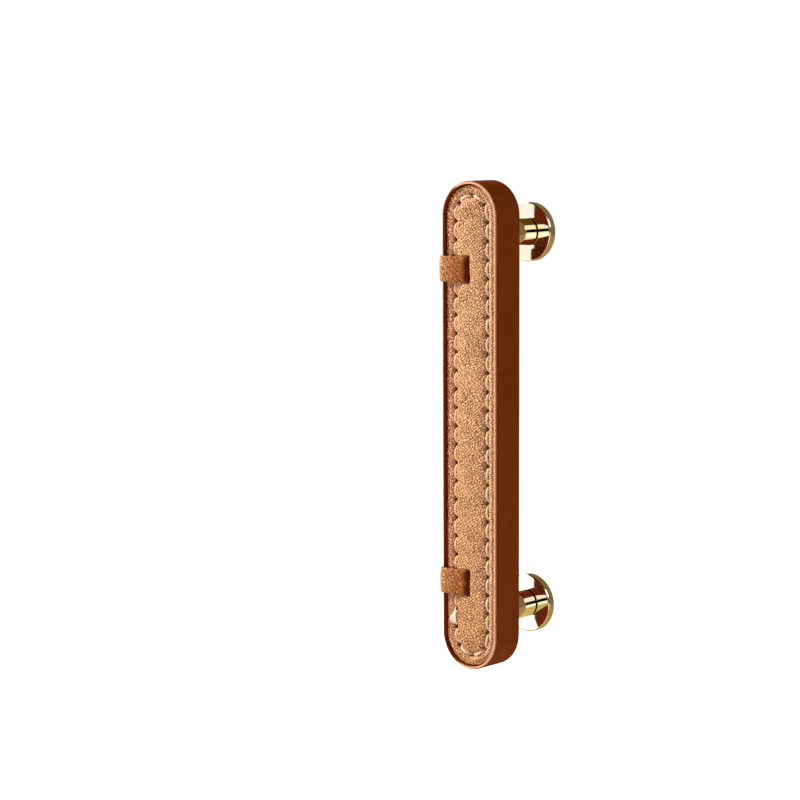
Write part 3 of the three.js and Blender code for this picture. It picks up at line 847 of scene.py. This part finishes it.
def tubes(centre, outward, radius):
    """Tubes along paths: at each point a ring, square to the path, at a radius that may vary round
    it, and each end closed to its middle. Gives the points and the triangles."""
    ahead = np.gradient(centre, axis=1)
    ahead /= np.linalg.norm(ahead, axis=-1, keepdims=True)
    outward = outward - ahead * np.sum(outward * ahead, axis=-1, keepdims=True)
    outward /= np.linalg.norm(outward, axis=-1, keepdims=True)
    across = np.cross(ahead, outward)
    sides = radius.shape[-1]
    turn = 2 * np.pi * np.arange(sides)[:, None] / sides
    ring = np.cos(turn) * outward[:, :, None] + np.sin(turn) * across[:, :, None]
    rings = centre[:, :, None] + radius[..., None] * ring
    ends = centre[:, [0, -1]]
    numbers = np.arange(rings[..., 0].size).reshape(rings.shape[:3])
    end_numbers = numbers.size + np.arange(ends[..., 0].size).reshape(-1, 2, 1)
    end_numbers = np.repeat(end_numbers, sides, axis=2)
    rows = np.concatenate([end_numbers[:, :1], numbers, end_numbers[:, 1:]], axis=1)
    triangles = np.concatenate([cells(closed(tube)) for tube in rows])
    return np.concatenate([rings.reshape(-1, 3), ends.reshape(-1, 3)]), triangles


share = np.linspace(0, 1, THREAD_STEPS)
distance = (np.arange(STITCHES)[:, None] + share) * STITCH_PITCH
spine, angle = seam_place(distance)
lift = np.sin(np.pi * np.clip((share - 0.10) / 0.80, 0, 1)) ** 0.5
middle = THREAD_END - (THREAD_END - THREAD_MIDDLE) * lift + 0 * distance
centre = outline_points(SEAM_RADIUS, middle, spine, angle)
outward = np.stack([np.cos(angle), 0 * angle, np.sin(angle)], -1)
lay = PLIES * np.arange(THREAD_SIDES) / THREAD_SIDES - distance[..., None] / PLY_LAY
swell = 1 - PLY_RELIEF + PLY_RELIEF * np.cos(2 * np.pi * lay)
points, triangles = tubes(centre, outward, THREAD_RADIUS * swell)

# The seam ends below the lower loop. The thread's tail lies on the band there, frayed into a fan: each
# fibre is a quadratic curve from the stitch, through one bend, to its own place at the fan's end. The
# places are x, recess and height of the first fibre, and how far the others spread from it.
chance = np.random.default_rng(51)
fan = np.linspace(0, 1, FIBRES)
start = np.stack([-6.5 - 0.25 * fan, 0.85 + 0 * fan, -61.4 - 0.3 * fan], -1)
bend = np.stack([-6.5 - 0.7 * fan, 0.45 + 0.1 * chance.random(FIBRES), -64.3 + 0.4 * fan], -1)
tip = np.stack([-6.3 - 3.3 * fan, 0.62 + 0.2 * chance.random(FIBRES),
                -67.3 + 1.2 * fan ** 3 + 0.7 * (chance.random(FIBRES) - 0.5)], -1)
run = np.linspace(0, 1, FIBRE_STEPS)[:, None]
fibres = ((1 - run) ** 2 * start[:, None] + 2 * run * (1 - run) * bend[:, None]
          + run ** 2 * tip[:, None])
fibres[..., 1] += CROWN
taper = FIBRE_RADIUS * (1 - 0.5 * run ** 2) + np.zeros((FIBRES, 1, FIBRE_SIDES))
fibre_points, fibre_triangles = tubes(fibres, np.array([0.0, -1.0, 0.0]), taper)
frayed = np.repeat([0.0, 1.0], [len(points), len(fibre_points)])
triangles = np.concatenate([triangles, fibre_triangles + len(points)])
points = np.concatenate([points, fibre_points])
stitching = put_mesh("thread_stitches", points, triangles, thread, frayed=frayed)
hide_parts("face_stitching")

# Loops: two narrow straps of the face's leather. Each comes out of a slot in the face, passes over
# the left edge and round the side, and is tucked into a slot in the back. Dyed and creased, with shade
# and highlight painted into their colour.

STRAP_THICKNESS = 1.1
STRAP_GAP = 0.15
STRAP_STEP = 0.22
STRAP_SIDE_ROUNDING = 0.4
FRONT_BEND = 1.6
REAR_BEND = 1.2
TUCK = 3
STRAP_GRAIN_SIZE = 0.8
STRAP_FINE_SIZE = 0.65
STRAP_CREASE_DEPTH = 0.24
STRAP_LEVEL_DEPTH = 0.06
STRAP_SAG = 0.22
STRAP_NARROWING = 0.05

strap_front = -(STRAP_GAP + STRAP_THICKNESS / 2)
strap_rear = BAR_DEPTH + STRAP_GAP + STRAP_THICKNESS / 2
strap_side = -(BAR_HALF_WIDTH + STRAP_GAP + STRAP_THICKNESS / 2)

# Strap leather: orange brown in clouds of 3 mm, with painted shade in dark maroon where it leaves the
# slot and out of sight, pale where it bends over the edge as rubbing and painted highlight, with
# pebbles pale on top as wear and painted highlight, and brown creases darkened as painted shade
loop_leather, tree = new_material("oiled_strap_leather")
tone = tint_by_marks(tree, clouded(tree, 3, "#974a16", "#b66328"),
                     {"worn": "#d7ab82", "oiled": "#5c1d05", "worn_top": "#e2a064",
                      "crease": "#78360f"})
finish_leather(tree, tone, pore=0.4, depth=0.2, strength=0.6, roughness=0.5, sheen=0.05)

route = rounded_path([(STRAP_X, LINER_RECESS - SOFT_GAP), (STRAP_X, strap_front + STRAP_DROP),
                      (-PANEL_RADIUS, strap_front), (strap_side, strap_front),
                      (strap_side, strap_rear), (STRAP_X, strap_rear), (STRAP_X, BAR_DEPTH - TUCK)],
                     [0, FRONT_BEND, 0, FRONT_BEND, REAR_BEND, REAR_BEND, 0], STRAP_STEP)
heading = np.gradient(route, axis=0)
heading /= np.hypot(*heading.T)[:, None]
outside = np.stack([-heading[:, 1], heading[:, 0]], -1)
if outside[len(route) // 4, 1] > 0:
    outside = -outside
half_wide, half_thick = LOOP_WIDTH / 2, STRAP_THICKNESS / 2
ribbon_section = rounded_path([(-half_wide, half_thick), (half_wide, half_thick),
                               (half_wide, -half_thick), (-half_wide, -half_thick)],
                              [STRAP_SIDE_ROUNDING] * 4, STRAP_STEP, is_loop=True)
wide, thick = ribbon_section[:, :1], ribbon_section[:, 1:]
walked = STRAP_STEP * np.arange(len(route))
narrowing = 1 - STRAP_NARROWING * (1 - ease(2.0, 9.0, walked))
streak_u = 0.7 * walked - 0.7 * wide
streak_v = 0.7 * walked + 0.7 * wide
on_top = ease(0.1, 0.5, thick / half_thick)
sag = STRAP_SAG * np.abs(wide / half_wide) ** 3 * on_top
# Each strap is the ribbon's section carried along the route, with a grain like the face's on its
# outer side, and with sides that sag
for number, node, height in ((0, "loop_upper", LOOP_HEIGHT), (1, "loop_lower", -LOOP_HEIGHT)):
    grain, level = pebbles(0.5 * streak_u, streak_v, STRAP_GRAIN_SIZE, seed=41 + number)
    fine, _ = pebbles(streak_u, streak_v, STRAP_FINE_SIZE, seed=47 + number)
    # Creases: sunk into the strap, and painted darker as shade.
    crease = np.maximum(1 - ease(0.0, 0.6, grain), 0.7 * (1 - ease(0.0, 0.5, fine))) * on_top
    crease = crease * (0.3 + 0.7 * ease(3.0, 6.0, walked))
    out = thick - STRAP_CREASE_DEPTH * crease - STRAP_LEVEL_DEPTH * level * on_top - sag
    flat = route + out[..., None] * outside
    spread = height + narrowing * wide
    patchy = 2.5 * (drift(walked + 0 * wide, wide + 0 * walked, 2.2, seed=45 + number) - 0.5)
    # Pale over the bend at the left edge: partly rubbing, partly a painted highlight where the bend
    # faces the key light.
    worn = ease(7.5, 13.5, walked + patchy) * (1 - ease(14.0, 18.0, walked + patchy))
    # Painted shade: dark maroon where the strap leaves the slot and on its run out of sight.
    oiled = np.maximum(1 - ease(2.8, 6.0, walked + 0.4 * patchy), ease(15.5, 21.0, walked + patchy))
    # Pale pebble tops: partly wear and partly a painted highlight.
    worn_top = (0.1 + 0.7 * level) * ease(0.2, 0.9, grain) * (1 - oiled) * on_top
    points = np.stack([flat[..., 0], CROWN + flat[..., 1], spread], -1).reshape(-1, 3)
    ends = np.array([[route[end, 0], CROWN + route[end, 1], height] for end in (0, -1)])
    numbers = np.arange(len(points)).reshape(len(ribbon_section), -1)
    ring = np.concatenate([numbers, numbers[:1]])
    start_cap = np.full((len(ring), 1), len(points))
    ring = np.column_stack([start_cap, ring, start_cap + 1])
    points = np.concatenate([points, ends])
    strap = put_mesh(f"leather_{node}", points, cells(ring), loop_leather,
                     crease=np.append(crease, [0, 0]), worn=np.append(worn, [0, 0]),
                     oiled=np.append(oiled, [1, 1]), worn_top=np.append(worn_top, [0, 0]))
    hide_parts(node)

# Posts: turned from brass bar in one with their round feet, polished, plated pale gold and
# lacquered. The stud's hole faces the bar and an M4 thread for the door's screw opens in the foot.

POST_RADIUS = 4.65
FOOT_RADIUS = 10.0
FOOT_THICKNESS = 3.4
GROOVE_WIDTH = 0.45
GROOVE_DEPTH = 0.35
POST_LENGTH = 21.6
STUD_HOLE_DEPTH = 7.25
BORE_RADIUS = 1.65
THREAD_PITCH = 0.7
THREAD_DEPTH = 0.3
BORE_DEPTH = 11.0
TURN_SIDES = 144

# Gold plate: a clear mirror, pale and warm, hazed in patches of 2.5 mm. The turned groove where the
# post meets its foot is painted near black as shade.
gold, tree = new_material("polished_gold_plate")
place = add_node(tree, "ShaderNodeTexCoord").outputs["Object"]
groove_share = add_node(tree, "ShaderNodeAttribute", attribute_name="groove").outputs["Fac"]
haze = add_node(tree, "ShaderNodeTexNoise", {"Vector": place, "Scale": 1 / (2.5 * MM), "Detail": 4.0})
rough = add_node(tree, "ShaderNodeMapRange", {"Value": haze, "To Min": 0.03, "To Max": 0.08})
tone = add_node(tree, "ShaderNodeMix", {"Factor": groove_share, "A": hex_linear("#fdf6dc"),
                                        "B": hex_linear("#1c1206")}, data_type="RGBA")
shader = add_node(tree, "ShaderNodeBsdfPrincipled", {"Base Color": tone, "Metallic": 1.0,
                                                     "Roughness": rough})
add_node(tree, "ShaderNodeOutputMaterial", {"Surface": shader})

# The turned profile, from the bottom of the stud's hole out to the bar's end, along the post and
# over the foot to the bottom of the bore, then the rounding of each corner
turned_path = rounded_path(
    [(0, -POST_LENGTH + STUD_HOLE_DEPTH), (STUD_HOLE_RADIUS, -POST_LENGTH + STUD_HOLE_DEPTH),
     (STUD_HOLE_RADIUS, -POST_LENGTH), (POST_RADIUS, -POST_LENGTH),
     (POST_RADIUS, -FOOT_THICKNESS - GROOVE_WIDTH),
     (POST_RADIUS - GROOVE_DEPTH, -FOOT_THICKNESS - GROOVE_WIDTH),
     (POST_RADIUS - GROOVE_DEPTH, -FOOT_THICKNESS), (FOOT_RADIUS, -FOOT_THICKNESS),
     (FOOT_RADIUS, 0), (BORE_RADIUS, 0), (BORE_RADIUS, -BORE_DEPTH), (0, -BORE_DEPTH)],
    [0, 0.1, 0.15, 0.3, 0.06, 0.05, 0.05, 0.45, 0.9, 0.15, 0.1, 0], 0.14)
round_angle = 2 * np.pi * np.arange(TURN_SIDES) / TURN_SIDES
turned_radius, turned_y = turned_path[:, :1], turned_path[:, 1:]
in_bore = ((turned_radius < BORE_RADIUS + 0.01) & (turned_radius > BORE_RADIUS - 0.01)
           & (turned_y > -BORE_DEPTH + 0.2))
# The thread is a triangle wave that climbs one pitch a turn, faded out at both ends of the bore
fade = ease(0, 0.7, -turned_y) * ease(0, 0.7, turned_y + BORE_DEPTH)
thread_cut = np.abs((turned_y / THREAD_PITCH + round_angle / (2 * np.pi)) % 1 * 2 - 1)
radius = turned_radius + in_bore * fade * THREAD_DEPTH * thread_cut
# The groove's mark paints it near black as shade.
in_groove = ((turned_radius < POST_RADIUS - 0.02) & (turned_radius > STUD_HOLE_RADIUS + 0.5)
             & (np.abs(turned_y + FOOT_THICKNESS + GROOVE_WIDTH / 2) < GROOVE_WIDTH / 2 + 0.01))
groove_share = (in_groove + 0.0 * radius).ravel()
for node, height in (("post_upper", POST_HEIGHT), ("post_lower", -POST_HEIGHT)):
    points = np.stack([radius * np.cos(round_angle), turned_y + 0 * radius,
                       height + radius * np.sin(round_angle)], -1).reshape(-1, 3)
    numbers = np.arange(len(points)).reshape(len(turned_path), -1)
    numbers[0], numbers[-1] = numbers[0, 0], numbers[-1, 0]
    post = put_mesh(f"gold_{node}", points, cells(closed(numbers)), gold, groove=groove_share)
    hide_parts(node)

bpy.context.view_layer.update()
